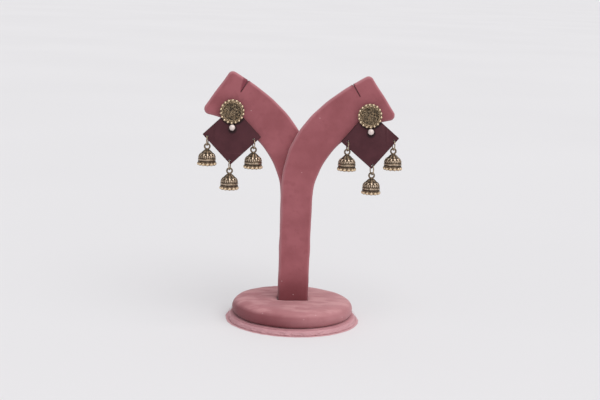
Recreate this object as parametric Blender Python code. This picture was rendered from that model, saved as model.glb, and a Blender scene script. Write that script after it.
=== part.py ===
"""A pair of jhumka drop earrings on a Y-shaped velvet display stand.

Metres, +Z up, the viewer looks along +Y, and the origin is the centre of the base's underside. Two flat
boards, mirror images of each other, stand one behind the other in a round base, and each carries one arm of
the Y. Each earring is a painted square plate on its corner, held by the post of a cast stud, with three
small bells hung from it on wire rings.
"""

import math
from collections import namedtuple

import bmesh
import bpy
from mathutils import Matrix, Vector

MM = 0.001

# Edges that bend more than this are shaded sharp
SHARP_ANGLE = math.radians(40)

# Gaps between pieces that touch on the real object
SEAT_GAP = 0.3 * MM
JEWEL_GAP = 0.15 * MM
WIRE_GAP = 0.1 * MM

# Base: a thin foot disc with a thick soft pad on it
DISC_DIAMETER = 78.4 * MM
DISC_HEIGHT = 3.4 * MM
PAD_DIAMETER = 72.6 * MM
PAD_HEIGHT = 9.4 * MM
BASE_SIDES = 32

# Boards: post and arm in one. Each edge bends in two arcs, the second of them wider
BOARD_THICKNESS = 5.0 * MM
BOARD_EDGE_ROUND = 1.2 * MM
POST_WIDTH = 18.5 * MM
POST_FOOT_WIDTH = 17.9 * MM
OUTER_BEND_START = 82.1 * MM
OUTER_BEND_RADIUS = 63.3 * MM
OUTER_BEND_TURN = math.radians(45)
OUTER_TIP_RADIUS = 120 * MM
OUTER_TIP_TURN = math.radians(18.7)
INNER_BEND_START = 73.0 * MM
INNER_BEND_RADIUS = 49.2 * MM
INNER_BEND_TURN = math.radians(64)
INNER_TIP_RADIUS = 83 * MM
END_CUT_LEAN = math.radians(34.6)
TOP_CORNER_RADIUS = 3.0 * MM
LOWER_CORNER_RADIUS = 3.3 * MM
SLIT_FROM_END = 11.7 * MM
SLIT_DEPTH = 8.1 * MM
SLIT_WIDTH = 0.8 * MM

# Where each earring's post goes through its arm, and how far the earring is turned on it. The place is given
# round the inner edge's first arc and out from it, so the drops keep clear of the arm
POST_TURN = {"left": math.radians(70.5), "right": math.radians(71.9)}
POST_FROM_INNER_EDGE = 6.65 * MM
EARRING_TURN = {"left": math.radians(-1.2), "right": math.radians(5.1)}

# Plate: a square hung on its corner, its middle a little to the right of the post or, if minus, to the left
PLATE_SIDE = 24.4 * MM
PLATE_THICKNESS = 2.0 * MM
PLATE_BELOW_POST = 14.4 * MM
PLATE_ASIDE = {"left": 0.5 * MM, "right": -0.4 * MM}
SIDE_HOLE_INSET = 3.4 * MM
BOTTOM_HOLE_INSET = 2.8 * MM
HOLE_PLAY = 0.9 * MM

# Stud: a cast disc with a ring of balls, and its ear post
STUD_DIAMETER = 14.8 * MM
STUD_BALL = 1.5 * MM
STUD_BALLS = 18
STUD_BALL_LEVEL = 0.55 * STUD_BALL
STUD_HEIGHT = 1.5 * MM
GRANULE_HEIGHT = 0.3 * MM
EAR_POST_DIAMETER = 0.9 * MM
EAR_POST_BEYOND_NUT = 0.8 * MM

# Pearl, glued to the plate on a small flat, close under the stud and not always right below its middle
PEARL_DIAMETER = 3.9 * MM
PEARL_FLAT = 1.6 * MM
PEARL_ASIDE = {"left": 0.4 * MM, "right": 0.0}

# Ear nut: a flange and a barrel
NUT_FLANGE_DIAMETER = 5.2 * MM
NUT_FLANGE = 0.8 * MM
NUT_BARREL_DIAMETER = 3.2 * MM
NUT_BARREL = 2.4 * MM

# Wire rings
RING_DIAMETER = 6.9 * MM
RING_WIRE = 0.9 * MM

# Bells: a loop, a hollow dome with a rim, and a ring of balls under it
LOOP_HOLE = 2.1 * MM
LOOP_WIRE = 1.0 * MM
BELL_DIAMETER = 10.5 * MM
BELL_HEIGHT = 8.0 * MM
BELL_WALL = 0.7 * MM
BELL_RELIEF = 0.3 * MM
BELL_BALL = 2.0 * MM
BELL_BALLS = 12
BALL_RING_DIAMETER = 11.7 * MM
BALL_BELOW_RIM = 0.65 * MM

# Shares of a pad's or disc's radius and height, from the middle of its underside to the middle of its top
PAD_ROWS = (
    (0.0, 0.0),
    (0.96, 0.0),
    (0.995, 0.18),
    (1.0, 0.42),
    (0.98, 0.63),
    (0.93, 0.82),
    (0.84, 0.95),
    (0.7, 1.0),
    (0.0, 1.0),
)
DISC_ROWS = (
    (0.0, 0.0),
    (0.985, 0.0),
    (1.0, 0.2),
    (1.0, 0.75),
    (0.985, 1.0),
    (0.0, 1.0),
)

# Stud disc from the middle of its back: share of its radius, share of its height, share of a granule's height
STUD_ROWS = (
    (0.0, 0.0, 0.0),
    (1.0, 0.0, 0.0),
    (1.0, 0.6, 0.0),
    (0.88, 0.9, 0.0),
    (0.78, 0.5, 0.0),
    (0.56, 0.6, 1.0),
    (0.28, 0.8, 1.0),
    (0.0, 1.0, 0.0),
)

# Bell from its crown down: share of its radius, share of its height, share of the relief on every other rib
BELL_ROWS = (
    (0.0, 0.0, 0.0),
    (0.17, 0.0, 0.0),
    (0.44, 0.15, 0.2),
    (0.7, 0.3, 0.8),
    (0.9, 0.47, 0.6),
    (0.97, 0.64, 1.0),
    (1.0, 0.82, 0.0),
    (0.98, 1.0, 0.0),
)
RIM_ROW = 7
DOME_ROW = 4
ROOF_ROW = 2

# The drops. Each hole is drilled by hand, a little to the right and above its place (millimetres, minus for
# left and below), and each ring and bell is turned about the vertical (degrees)
Drop = namedtuple("Drop", "earring hole aside above ring_turn bell_turn")
DROPS = (
    Drop("left", "outer", -0.5, -0.5, 8, 5),
    Drop("left", "inner", -0.8, -1.2, -10, -6),
    Drop("left", "bottom", -0.5, 0.0, 10, 3),
    Drop("right", "outer", 0.3, -0.9, -6, 8),
    Drop("right", "inner", 0.6, 0.3, -5, 10),
    Drop("right", "bottom", 0.6, -0.3, -13, -4),
)
SIDES = {"left": -1, "right": 1}

# Sides of the small round pieces
BALL_SIDES = 10
BALL_ROWS = 4
WIRE_SIDES = 5
RING_SIDES = 10
HOLE_SIDES = 10
PEARL_SIDES = 10
PEARL_ROWS = 5
NUT_SIDES = 10

# Values that follow from the sizes above
PAD_BOTTOM = DISC_HEIGHT + SEAT_GAP
PAD_TOP = PAD_BOTTOM + PAD_HEIGHT
BOARD_FOOT = DISC_HEIGHT + SEAT_GAP
PLATE_BACK = SEAT_GAP
PLATE_FRONT = PLATE_BACK + PLATE_THICKNESS
PLATE_HALF_DIAGONAL = PLATE_SIDE / math.sqrt(2)
STUD_BACK = PLATE_FRONT + JEWEL_GAP
STUD_BALL_CIRCLE = (STUD_DIAMETER - STUD_BALL) / 2
STUD_DISC_RADIUS = STUD_BALL_CIRCLE - STUD_BALL / 4
HOLE_RADIUS = (RING_WIRE + HOLE_PLAY) / 2
POST_HOLE_RADIUS = EAR_POST_DIAMETER / 2 + JEWEL_GAP
PEARL_RADIUS = PEARL_DIAMETER / 2
PEARL_MIDDLE = PLATE_FRONT + JEWEL_GAP + math.sqrt(PEARL_RADIUS**2 - (PEARL_FLAT / 2) ** 2)
STUD_BALL_MIDDLE = STUD_BACK + STUD_BALL_LEVEL
NUT_BACK = -BOARD_THICKNESS - JEWEL_GAP - NUT_FLANGE - NUT_BARREL
RING_CIRCLE = (RING_DIAMETER - RING_WIRE) / 2
LOOP_CIRCLE = (LOOP_HOLE + LOOP_WIRE) / 2
BALL_CIRCLE = (BALL_RING_DIAMETER - BELL_BALL) / 2


def clear_scene():
    """Take away whatever the scene starts with."""
    for thing in list(bpy.data.objects):
        bpy.data.objects.remove(thing, do_unlink=True)


def make_material(name, colour, roughness, metallic):
    """A Principled BSDF with one colour."""
    material = bpy.data.materials.new(name)
    material.use_nodes = True
    shader = material.node_tree.nodes["Principled BSDF"]
    shader.inputs["Base Color"].default_value = (*colour, 1.0)
    shader.inputs["Roughness"].default_value = roughness
    shader.inputs["Metallic"].default_value = metallic
    material.diffuse_color = (*colour, 1.0)
    return material


def mesh_from(shape, name):
    """A mesh from a bmesh, with its faces turned outwards, shaded smooth but for its edges."""
    bmesh.ops.recalc_face_normals(shape, faces=shape.faces)
    mesh = bpy.data.meshes.new(name)
    shape.to_mesh(mesh)
    shape.free()
    mesh.shade_smooth()
    mesh.set_sharp_from_angle(angle=SHARP_ANGLE)
    return mesh


def put(name, mesh, material, parent=None, place=None):
    """An object for a mesh, at a place given as a matrix in its parent's frame."""
    thing = bpy.data.objects.new(name, mesh)
    bpy.context.scene.collection.objects.link(thing)
    thing.parent = parent
    if place is not None:
        thing.matrix_basis = place
    if material is not None and not mesh.materials:
        mesh.materials.append(material)
    return thing


def put_cutter(name, mesh, place=None):
    """A helper for a Boolean, left out of the render."""
    cutter = put(name, mesh, None, place=place)
    cutter.hide_render = True
    cutter.display_type = "WIRE"
    return cutter


def boolean(thing, other, operation):
    """An exact Boolean of another object on this one."""
    step = thing.modifiers.new(f"{operation.lower()} {other.name}", "BOOLEAN")
    step.operation = operation
    step.object = other


def fused(name, meshes):
    """One mesh from several closed ones, joined by exact Boolean unions."""
    body = put(name, meshes[0], None)
    others = [put_cutter(f"{name}_{index}", mesh) for index, mesh in enumerate(meshes[1:])]
    for other in others:
        boolean(body, other, "UNION")
    graph = bpy.context.evaluated_depsgraph_get()
    joined = bpy.data.meshes.new_from_object(body.evaluated_get(graph))
    joined.name = name
    for thing in (body, *others):
        bpy.data.objects.remove(thing, do_unlink=True)
    joined.shade_smooth()
    joined.set_sharp_from_angle(angle=SHARP_ANGLE)
    return joined


def turned(name, rows, sides, closed=False):
    """A body turned about Z from rows of (radius, height) or (radius, height, outward lift, upward lift).

    The lifts raise every other point of a row, and the raised points step round by one from row to row for
    the upward lift, which gives a field of granules, and stay in line for the outward lift, which gives
    ribs. A row of no radius is a pole. A closed profile joins its last row to its first, as on a tube.
    """
    shape = bmesh.new()
    rings = []
    for step, row in enumerate(rows):
        radius, height, outward, upward = (*row, 0.0, 0.0)[:4]
        ring = []
        for side in range(sides if radius else 1):
            angle = math.tau * side / sides
            reach = radius + (outward if side % 2 == 0 else 0.0)
            level = height + (upward if (side + step) % 2 == 0 else 0.0)
            ring.append(shape.verts.new((reach * math.cos(angle), reach * math.sin(angle), level)))
        rings.append(ring)
    pairs = list(zip(rings, rings[1:]))
    if closed:
        pairs.append((rings[-1], rings[0]))
    for low, high in pairs:
        for side in range(sides):
            following = (side + 1) % sides
            corners = [low[side % len(low)], low[following % len(low)]]
            corners += [high[following % len(high)], high[side % len(high)]]
            shape.faces.new(list(dict.fromkeys(corners)))
    return mesh_from(shape, name)


def ball_ring(name, count, circle, diameter, height):
    """A mesh of separate balls, spaced evenly on a circle about Z, the first of them on the minus Y side."""
    shape = bmesh.new()
    for index in range(count):
        place = Matrix.Rotation(math.tau * index / count, 4, "Z") @ Matrix.Translation((0, -circle, height))
        bmesh.ops.create_uvsphere(
            shape, u_segments=BALL_SIDES, v_segments=BALL_ROWS, radius=diameter / 2, matrix=place
        )
    return mesh_from(shape, name)


def torus(name, circle, wire, turn):
    """A ring of round wire about Z, then turned by a matrix."""
    shape = bmesh.new()
    rows = []
    for side in range(RING_SIDES):
        angle = math.tau * side / RING_SIDES
        row = []
        for corner in range(WIRE_SIDES):
            around = math.tau * corner / WIRE_SIDES
            reach = circle + wire / 2 * math.cos(around)
            point = Vector((reach * math.cos(angle), reach * math.sin(angle), wire / 2 * math.sin(around)))
            row.append(shape.verts.new(turn @ point))
        rows.append(row)
    for side, row in enumerate(rows):
        beside = rows[(side + 1) % RING_SIDES]
        for corner in range(WIRE_SIDES):
            above = (corner + 1) % WIRE_SIDES
            shape.faces.new((row[corner], beside[corner], beside[above], row[above]))
    return mesh_from(shape, name)


def box(name, size, place):
    """A box with its middle at a place."""
    shape = bmesh.new()
    bmesh.ops.create_cube(shape, size=1.0, matrix=place @ Matrix.Diagonal((*size, 1.0)))
    return mesh_from(shape, name)


def pins(name, places, length):
    """A mesh of separate round pins about Z, given as (x, y, radius), for cutting holes."""
    shape = bmesh.new()
    for x, y, radius in places:
        bmesh.ops.create_cone(
            shape,
            cap_ends=True,
            segments=HOLE_SIDES,
            radius1=radius,
            radius2=radius,
            depth=length,
            matrix=Matrix.Translation((x, y, 0)),
        )
    return mesh_from(shape, name)


def arc(centre, radius, start, end, steps):
    """Points on an arc from one angle to another."""
    angles = [start + (end - start) * step / steps for step in range(steps + 1)]
    return [centre + radius * Vector((math.cos(angle), math.sin(angle))) for angle in angles]


def on_circle_and_line(centre, radius, point, direction):
    """The crossing of a circle and a line that lies further along the line."""
    to_point = point - centre
    along = to_point.dot(direction)
    return point + direction * (math.sqrt(along**2 - to_point.length_squared + radius**2) - along)


def heading(centre, point):
    """The angle at which a point is seen from a centre."""
    ray = point - centre
    return math.atan2(ray.y, ray.x)


def outer_centres():
    """Centres of the two arcs of the outer edge, in the plane of a right-hand board."""
    lower = Vector((OUTER_BEND_RADIUS - POST_WIDTH / 2, OUTER_BEND_START))
    inward = Vector((math.cos(OUTER_BEND_TURN), -math.sin(OUTER_BEND_TURN)))
    return lower, lower + (OUTER_TIP_RADIUS - OUTER_BEND_RADIUS) * inward


def outer_edge(turn):
    """The point of the outer edge's last arc where the edge has turned this far from the vertical."""
    return outer_centres()[1] + OUTER_TIP_RADIUS * Vector((-math.cos(turn), math.sin(turn)))


def post_half_width(height):
    """Half the post's width at a height, between its foot and the bend of its inner edge."""
    share = (height - BOARD_FOOT) / (INNER_BEND_START - BOARD_FOOT)
    return (POST_FOOT_WIDTH + (POST_WIDTH - POST_FOOT_WIDTH) * share) / 2


def end_line():
    """The corner where the outer edge meets the end cut, the cut's way down from it, and the way in."""
    cut = Vector((math.sin(END_CUT_LEAN), -math.cos(END_CUT_LEAN)))
    return outer_edge(OUTER_BEND_TURN + OUTER_TIP_TURN), cut, Vector((cut.y, -cut.x))


def inner_centres():
    """Centres of the two arcs of the inner edge, in the plane of a right-hand board."""
    lower = Vector((POST_WIDTH / 2 + INNER_BEND_RADIUS, INNER_BEND_START))
    outward = Vector((-math.cos(INNER_BEND_TURN), math.sin(INNER_BEND_TURN)))
    return lower, lower + (INNER_BEND_RADIUS - INNER_TIP_RADIUS) * outward


def post_spot(side_name):
    """Where an ear post goes through its arm, in the plane of a right-hand board."""
    turn = POST_TURN[side_name]
    reach = INNER_BEND_RADIUS + POST_FROM_INNER_EDGE
    return inner_centres()[0] + reach * Vector((-math.cos(turn), math.sin(turn)))


def board_outline():
    """A right-hand board's outline: up the outer edge, round the cut end, and down the inner edge."""
    lower, upper = outer_centres()
    inner, inner_tip = inner_centres()
    corner, cut, inward = end_line()
    top_start = corner + inward * TOP_CORNER_RADIUS
    top = on_circle_and_line(upper, OUTER_TIP_RADIUS - TOP_CORNER_RADIUS, top_start, -cut)
    low_start = corner + inward * LOWER_CORNER_RADIUS
    low_start += cut * cut.dot(inner_tip - low_start)
    low = on_circle_and_line(inner_tip, INNER_TIP_RADIUS + LOWER_CORNER_RADIUS, low_start, -cut)

    top_heading = heading(upper, top)
    low_heading = heading(inner_tip, low)
    inner_change = math.pi - INNER_BEND_TURN
    cut_heading = math.atan2(-inward.y, -inward.x)
    points = [Vector((-POST_FOOT_WIDTH / 2, BOARD_FOOT))]
    points += arc(lower, OUTER_BEND_RADIUS, math.pi, math.pi - OUTER_BEND_TURN, 7)
    points += arc(upper, OUTER_TIP_RADIUS, math.pi - OUTER_BEND_TURN, top_heading, 4)[1:]
    points += arc(top, TOP_CORNER_RADIUS, top_heading, cut_heading, 3)[1:]
    points += arc(low, LOWER_CORNER_RADIUS, cut_heading, low_heading - math.pi, 4)
    points += arc(inner_tip, INNER_TIP_RADIUS, low_heading, inner_change, 4)[1:]
    points += arc(inner, INNER_BEND_RADIUS, inner_change, math.pi, 7)[1:]
    points.append(Vector((POST_FOOT_WIDTH / 2, BOARD_FOOT)))
    return points


def make_board(side_name, front, velvet):
    """A board with its front face at a depth, cut with an ear-wire slit and a hole for the ear post."""
    side = SIDES[side_name]
    shape = bmesh.new()
    outline = [shape.verts.new((side * point.x, front, point.y)) for point in board_outline()]
    face = shape.faces.new(outline)
    pushed = bmesh.ops.extrude_face_region(shape, geom=[face])["geom"]
    moved = [item for item in pushed if isinstance(item, bmesh.types.BMVert)]
    bmesh.ops.translate(shape, verts=moved, vec=(0, BOARD_THICKNESS, 0))
    board = put(f"{side_name}_arm_board", mesh_from(shape, "board"), velvet)

    rounding = board.modifiers.new("rounded edges", "BEVEL")
    rounding.width = BOARD_EDGE_ROUND
    rounding.segments = 2
    rounding.limit_method = "ANGLE"
    rounding.angle_limit = math.radians(50)
    rounding.use_clamp_overlap = False

    through = 2 * BOARD_THICKNESS
    middle = front + BOARD_THICKNESS / 2
    slit_turn = OUTER_BEND_TURN + OUTER_TIP_TURN - SLIT_FROM_END / OUTER_TIP_RADIUS
    mouth = outer_edge(slit_turn)
    slit_place = Matrix.Translation((side * mouth.x, middle, mouth.y)) @ Matrix.Rotation(
        side * (slit_turn - math.pi / 2), 4, "Y"
    )
    slit = box("slit", (SLIT_WIDTH, through, 2 * SLIT_DEPTH), Matrix())
    boolean(board, put_cutter(f"{side_name}_slit", slit, slit_place), "DIFFERENCE")

    spot = post_spot(side_name)
    hole_place = Matrix.Translation((side * spot.x, middle, spot.y)) @ Matrix.Rotation(math.pi / 2, 4, "X")
    hole = pins("post_hole", [(0, 0, POST_HOLE_RADIUS)], through)
    boolean(board, put_cutter(f"{side_name}_post_hole", hole, hole_place), "DIFFERENCE")
    return board


def make_base(velvet):
    """The foot disc, and the pad with the slot that the two boards stand in."""
    disc = [(DISC_DIAMETER / 2 * reach, DISC_HEIGHT * level) for reach, level in DISC_ROWS]
    put("base_disc", turned("base_disc", disc, BASE_SIDES), velvet)
    pad = [(PAD_DIAMETER / 2 * reach, PAD_BOTTOM + PAD_HEIGHT * level) for reach, level in PAD_ROWS]
    pad_body = put("base_pad", turned("base_pad", pad, BASE_SIDES), velvet)
    slot_size = (
        2 * (post_half_width(PAD_TOP) + SEAT_GAP),
        2 * (BOARD_THICKNESS + SEAT_GAP / 2 + SEAT_GAP),
        3 * PAD_HEIGHT,
    )
    slot = box("slot", slot_size, Matrix.Translation((0, 0, (PAD_BOTTOM + PAD_TOP) / 2)))
    boolean(pad_body, put_cutter("pad_slot", slot), "DIFFERENCE")


def plate_middle(side_name):
    """The middle of a plate, in its plane, with the post at the origin."""
    return Vector((PLATE_ASIDE[side_name], -PLATE_BELOW_POST))


def hole_spot(drop):
    """The plate's hole for a drop, in the plane of the plate, with the post at the origin."""
    spot = plate_middle(drop.earring) + Vector((drop.aside, drop.above)) * MM
    if drop.hole == "bottom":
        return spot + Vector((0, BOTTOM_HOLE_INSET - PLATE_HALF_DIAGONAL))
    way = SIDES[drop.earring] if drop.hole == "outer" else -SIDES[drop.earring]
    return spot + Vector((way * (PLATE_HALF_DIAGONAL - SIDE_HOLE_INSET), 0))


def make_plate_mesh():
    """The square plate, before its holes are cut."""
    place = Matrix.Translation((0, 0, (PLATE_BACK + PLATE_FRONT) / 2))
    turn = Matrix.Rotation(math.radians(45), 4, "Z")
    return box("plate", (PLATE_SIDE, PLATE_SIDE, PLATE_THICKNESS), place @ turn)


def make_stud_mesh():
    """The stud as one casting: disc with granules, balls round its edge, and the ear post behind."""
    rows = [
        (STUD_DISC_RADIUS * reach, STUD_BACK + STUD_HEIGHT * level, 0.0, GRANULE_HEIGHT * lift)
        for reach, level, lift in STUD_ROWS
    ]
    disc = turned("disc", rows, STUD_BALLS)
    balls = ball_ring("balls", STUD_BALLS, STUD_BALL_CIRCLE, STUD_BALL, STUD_BALL_MIDDLE)
    radius = EAR_POST_DIAMETER / 2
    tip = NUT_BACK - EAR_POST_BEYOND_NUT
    root = STUD_BACK + STUD_HEIGHT / 4
    post = [(0.0, tip), (radius / 2, tip), (radius, tip + radius), (radius, root), (0.0, root)]
    return fused("stud", [disc, turned("post", post, HOLE_SIDES), balls])


def make_pearl_mesh():
    """A round pearl with a small flat at its back, where it is glued."""
    flat = math.asin(PEARL_FLAT / PEARL_DIAMETER)
    rows = [(0.0, PLATE_FRONT + JEWEL_GAP)]
    for step in range(PEARL_ROWS):
        angle = flat + (math.pi - flat) * step / PEARL_ROWS
        rows.append((PEARL_RADIUS * math.sin(angle), PEARL_MIDDLE - PEARL_RADIUS * math.cos(angle)))
    rows.append((0.0, PEARL_MIDDLE + PEARL_RADIUS))
    return turned("pearl", rows, PEARL_SIDES)


def pearl_below_post():
    """How far the pearl's middle is below the post, a gap away from the stud's lowest ball.

    The pearl stands further out from the plate than the ball, so it tucks in over it a little.
    """
    apart = STUD_BALL / 2 + JEWEL_GAP + PEARL_RADIUS
    return STUD_BALL_CIRCLE + math.sqrt(apart**2 - (PEARL_MIDDLE - STUD_BALL_MIDDLE) ** 2)


def make_nut_mesh():
    """The push-on nut: a flange against the board and a barrel behind it, bored for the post."""
    bore = POST_HOLE_RADIUS
    front = -BOARD_THICKNESS - JEWEL_GAP
    shoulder = front - NUT_FLANGE
    rows = [
        (bore, front),
        (NUT_FLANGE_DIAMETER / 2, front),
        (NUT_FLANGE_DIAMETER / 2, shoulder),
        (NUT_BARREL_DIAMETER / 2, shoulder),
        (NUT_BARREL_DIAMETER / 2, NUT_BACK),
        (bore, NUT_BACK),
    ]
    return turned("ear_nut", rows, NUT_SIDES, closed=True)


def make_bell_mesh():
    """A bell as one casting, with the middle of its loop at the origin and the loop's hole along Y."""
    radius = BELL_DIAMETER / 2
    crown = -LOOP_CIRCLE
    outside = [
        (radius * reach, crown - BELL_HEIGHT * level, BELL_RELIEF * lift) for reach, level, lift in BELL_ROWS
    ]
    inside = [
        (outside[RIM_ROW][0] - BELL_WALL, outside[RIM_ROW][1]),
        (outside[DOME_ROW][0] - BELL_WALL, outside[DOME_ROW][1] - BELL_WALL),
        (0.0, outside[ROOF_ROW][1] - BELL_WALL),
    ]
    dome = turned("dome", outside + inside, 2 * BELL_BALLS)
    rim = crown - BELL_HEIGHT - BALL_BELOW_RIM
    balls = ball_ring("rim_balls", BELL_BALLS, BALL_CIRCLE, BELL_BALL, rim)
    loop = torus("loop", LOOP_CIRCLE, LOOP_WIRE, Matrix.Rotation(math.pi / 2, 3, "X"))
    return fused("bell", [dome, loop, balls])


def ring_below_hole(turn):
    """How far a ring's middle hangs below the middle of its hole, when the ring is turned by an angle.

    The wire lies on the lower edge of the hole where it leaves the plate, half a thickness to each side.
    """
    half = PLATE_THICKNESS / 2
    room = HOLE_RADIUS - RING_WIRE / 2 - WIRE_GAP
    return math.sqrt(room**2 - (half * math.tan(turn)) ** 2) + math.sqrt(
        RING_CIRCLE**2 - (half / math.cos(turn)) ** 2
    )


def make_earring(side_name, face, meshes, materials):
    """One earring's plate, stud, pearl and nut, on a frame whose Z faces the viewer from the board."""
    post = post_spot(side_name)
    place = (
        Matrix.Translation((SIDES[side_name] * post.x, face, post.y))
        @ Matrix.Rotation(-EARRING_TURN[side_name], 4, "Y")
        @ Matrix.Rotation(math.pi / 2, 4, "X")
    )
    frame = put_empty(f"{side_name}_earring_frame", place)
    plate_place = Matrix.Translation(plate_middle(side_name).to_3d())
    plate = put(f"{side_name}_plate", meshes["plate"], materials["paint"], frame, plate_place)
    spots = [(*hole_spot(drop), HOLE_RADIUS) for drop in DROPS if drop.earring == side_name]
    spots.append((0.0, 0.0, POST_HOLE_RADIUS))
    holes = put_cutter(f"{side_name}_plate_holes", pins("holes", spots, 4 * PLATE_FRONT))
    holes.parent = frame
    boolean(plate, holes, "DIFFERENCE")
    put(f"{side_name}_stud", meshes["stud"], materials["gold"], frame)
    put(f"{side_name}_ear_nut", meshes["nut"], materials["steel"], frame)
    pearl_place = Matrix.Translation((PEARL_ASIDE[side_name], -pearl_below_post(), 0))
    put(f"{side_name}_pearl", meshes["pearl"], materials["pearl"], frame, pearl_place)
    return place


def put_empty(name, place):
    """An empty that carries other objects."""
    empty = bpy.data.objects.new(name, None)
    bpy.context.scene.collection.objects.link(empty)
    empty.matrix_basis = place
    return empty


def make_drop(drop, place, meshes, materials):
    """A ring through its hole in the plate, and the bell that hangs in it."""
    hole = place @ Vector((*hole_spot(drop), (PLATE_BACK + PLATE_FRONT) / 2))
    hang = put_empty(f"{drop.earring}_{drop.hole}_drop", Matrix.Translation(hole))
    turn = math.radians(drop.ring_turn)
    ring_level = -ring_below_hole(turn)
    ring_place = Matrix.Translation((0, 0, ring_level)) @ Matrix.Rotation(-turn, 4, "Z")
    put(f"{drop.earring}_jump_ring_{drop.hole}", meshes["ring"], materials["wire"], hang, ring_place)
    loop_level = ring_level - RING_CIRCLE + RING_WIRE / 2 + WIRE_GAP - LOOP_HOLE / 2
    bell_turn = math.radians(drop.bell_turn)
    bell_place = Matrix.Translation((0, 0, loop_level)) @ Matrix.Rotation(bell_turn, 4, "Z")
    put(f"{drop.earring}_jhumka_{drop.hole}", meshes["bell"], materials["gold"], hang, bell_place)


clear_scene()
velvet = make_material("pink_velvet", (0.38, 0.13, 0.15), 0.9, 0.0)
looks = {
    "paint": make_material("maroon_paint", (0.075, 0.028, 0.036), 0.55, 0.0),
    "gold": make_material("antique_gold", (0.46, 0.33, 0.15), 0.4, 1.0),
    "wire": make_material("gold_wire", (0.72, 0.55, 0.3), 0.3, 1.0),
    "steel": make_material("nut_steel", (0.6, 0.58, 0.55), 0.35, 1.0),
    "pearl": make_material("pearl", (0.86, 0.78, 0.76), 0.25, 0.0),
}
make_base(velvet)
front_face = {"left": SEAT_GAP / 2, "right": -SEAT_GAP / 2 - BOARD_THICKNESS}
shapes = {
    "plate": make_plate_mesh(),
    "stud": make_stud_mesh(),
    "pearl": make_pearl_mesh(),
    "nut": make_nut_mesh(),
    "ring": torus("ring", RING_CIRCLE, RING_WIRE, Matrix.Rotation(math.pi / 2, 3, "Y")),
    "bell": make_bell_mesh(),
}
frames = {}
for side_name, face in front_face.items():
    make_board(side_name, face, velvet)
    frames[side_name] = make_earring(side_name, face, shapes, looks)
for drop in DROPS:
    make_drop(drop, frames[drop.earring], shapes, looks)
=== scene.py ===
"""Looks for a pair of jhumka drop earrings on a Y-shaped velvet stand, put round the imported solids.

Metres, +Z up, and the viewer looks along +Y. Left and right are the viewer's. Every piece is worked out where
its solid lies, so nothing is fitted afterwards.
"""

import math

import bmesh
import bpy
import numpy as np
from mathutils import Matrix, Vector
from mathutils.geometry import delaunay_2d_cdt


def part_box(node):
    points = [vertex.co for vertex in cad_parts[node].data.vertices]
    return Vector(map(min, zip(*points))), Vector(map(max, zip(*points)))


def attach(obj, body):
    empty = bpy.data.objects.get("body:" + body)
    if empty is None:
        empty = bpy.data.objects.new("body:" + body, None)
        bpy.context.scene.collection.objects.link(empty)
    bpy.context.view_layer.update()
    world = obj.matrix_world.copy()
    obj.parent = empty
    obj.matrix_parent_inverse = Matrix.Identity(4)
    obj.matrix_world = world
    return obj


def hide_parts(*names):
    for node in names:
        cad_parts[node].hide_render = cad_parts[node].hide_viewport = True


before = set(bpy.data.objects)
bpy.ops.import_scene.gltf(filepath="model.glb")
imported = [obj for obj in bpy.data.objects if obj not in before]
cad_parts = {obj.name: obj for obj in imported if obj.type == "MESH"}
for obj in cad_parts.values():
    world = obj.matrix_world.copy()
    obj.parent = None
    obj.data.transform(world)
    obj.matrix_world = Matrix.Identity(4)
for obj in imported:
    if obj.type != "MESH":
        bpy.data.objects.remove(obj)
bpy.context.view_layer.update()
MM = 0.001

# The view. A camera a little above the stand and a touch to its left, with the picture turned slightly
# clockwise, as the photograph's is.
VIEW_TARGET = np.array([2.28, 0.0, 73.4]) * MM
VIEW_DISTANCE = 720 * MM
VIEW_AZIMUTH, VIEW_ELEVATION, VIEW_ROLL = np.radians([-4.0, 10.3, 2.2])

level = np.array([math.cos(VIEW_AZIMUTH), math.sin(VIEW_AZIMUTH), 0.0])
backward = np.array([level[1], -level[0], math.tan(VIEW_ELEVATION)]) * math.cos(VIEW_ELEVATION)
rightward = level * math.cos(VIEW_ROLL) + np.cross(backward, level) * math.sin(VIEW_ROLL)
placing = np.eye(4)
placing[:3, :3] = np.column_stack([rightward, np.cross(backward, rightward), backward])
placing[:3, 3] = VIEW_TARGET + VIEW_DISTANCE * backward
camera_data = bpy.data.cameras.new("view")
camera_data.lens = 72.0
camera_data.sensor_width = 36.0
camera_data.sensor_fit = "HORIZONTAL"
camera = bpy.data.objects.new("view", camera_data)
camera.matrix_world = Matrix(placing)
bpy.context.scene.collection.objects.link(camera)
bpy.context.scene.camera = camera


# The set. A plain pale sheet that runs far out, three broad soft lights so far off that they fall evenly on
# it, and a grey room around.
SHEET_REACH = 80.0
SHEET_TONES = (0.805, 0.8, 0.815), (0.825, 0.82, 0.835)
MERGE_REACH = 0.0001 * MM


class Field:
    """One output of a shader node. Python sums on fields add Math nodes to their material."""

    def __init__(self, finish, socket):
        self.finish = finish
        self.socket = socket

    def math(self, operation, first, second):
        """A Math node's output, for two fields or numbers."""
        return self.finish.node("ShaderNodeMath", {"operation": operation}, {0: first, 1: second})

    def __add__(self, other):
        return self.math("ADD", self, other)

    def __sub__(self, other):
        return self.math("SUBTRACT", self, other)

    def __rsub__(self, other):
        return self.math("SUBTRACT", other, self)

    def __mul__(self, other):
        return self.math("MULTIPLY", self, other)

    __radd__ = __add__
    __rmul__ = __mul__

    def beside(self, output):
        """Another output of the same node."""
        return Field(self.finish, self.socket.node.outputs[output])


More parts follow.
